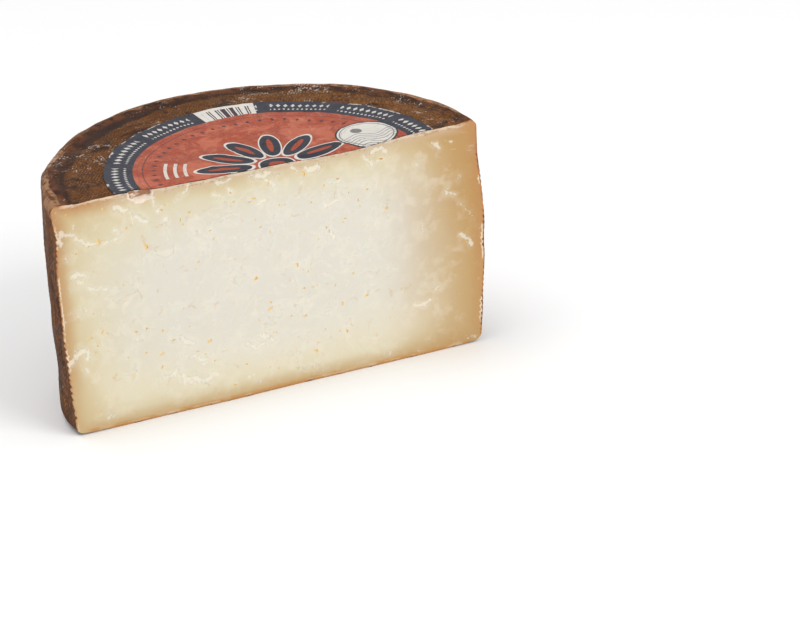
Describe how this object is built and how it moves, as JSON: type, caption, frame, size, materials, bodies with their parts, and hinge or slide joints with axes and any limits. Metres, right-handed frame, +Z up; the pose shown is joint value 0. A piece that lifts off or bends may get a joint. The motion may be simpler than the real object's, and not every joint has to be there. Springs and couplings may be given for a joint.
{
  "type": "aged sheep cheese",
  "caption": "Half wheel of aged sheep's milk cheese lying on its base, with a dark patterned rind, a pale cut face with small openings and half of a round paper label on top.",
  "frame": {"origin": "on the flat base, under the middle of the piece's bounding box", "axes": "+Z up along the wheel's axis, -Y is the way the cut face looks, +X along the cut"},
  "size_m": [0.1928, 0.0969, 0.1024],
  "materials": {
    "rind": "dry brown cheese rind with a woven press pattern",
    "paste": "cut cheese, ivory, slightly waxy",
    "label_paper": "printed coated paper"
  },
  "bodies": {
    "root": {"cheese": "paste", "label": "label_paper"}
  },
  "joints": []
}
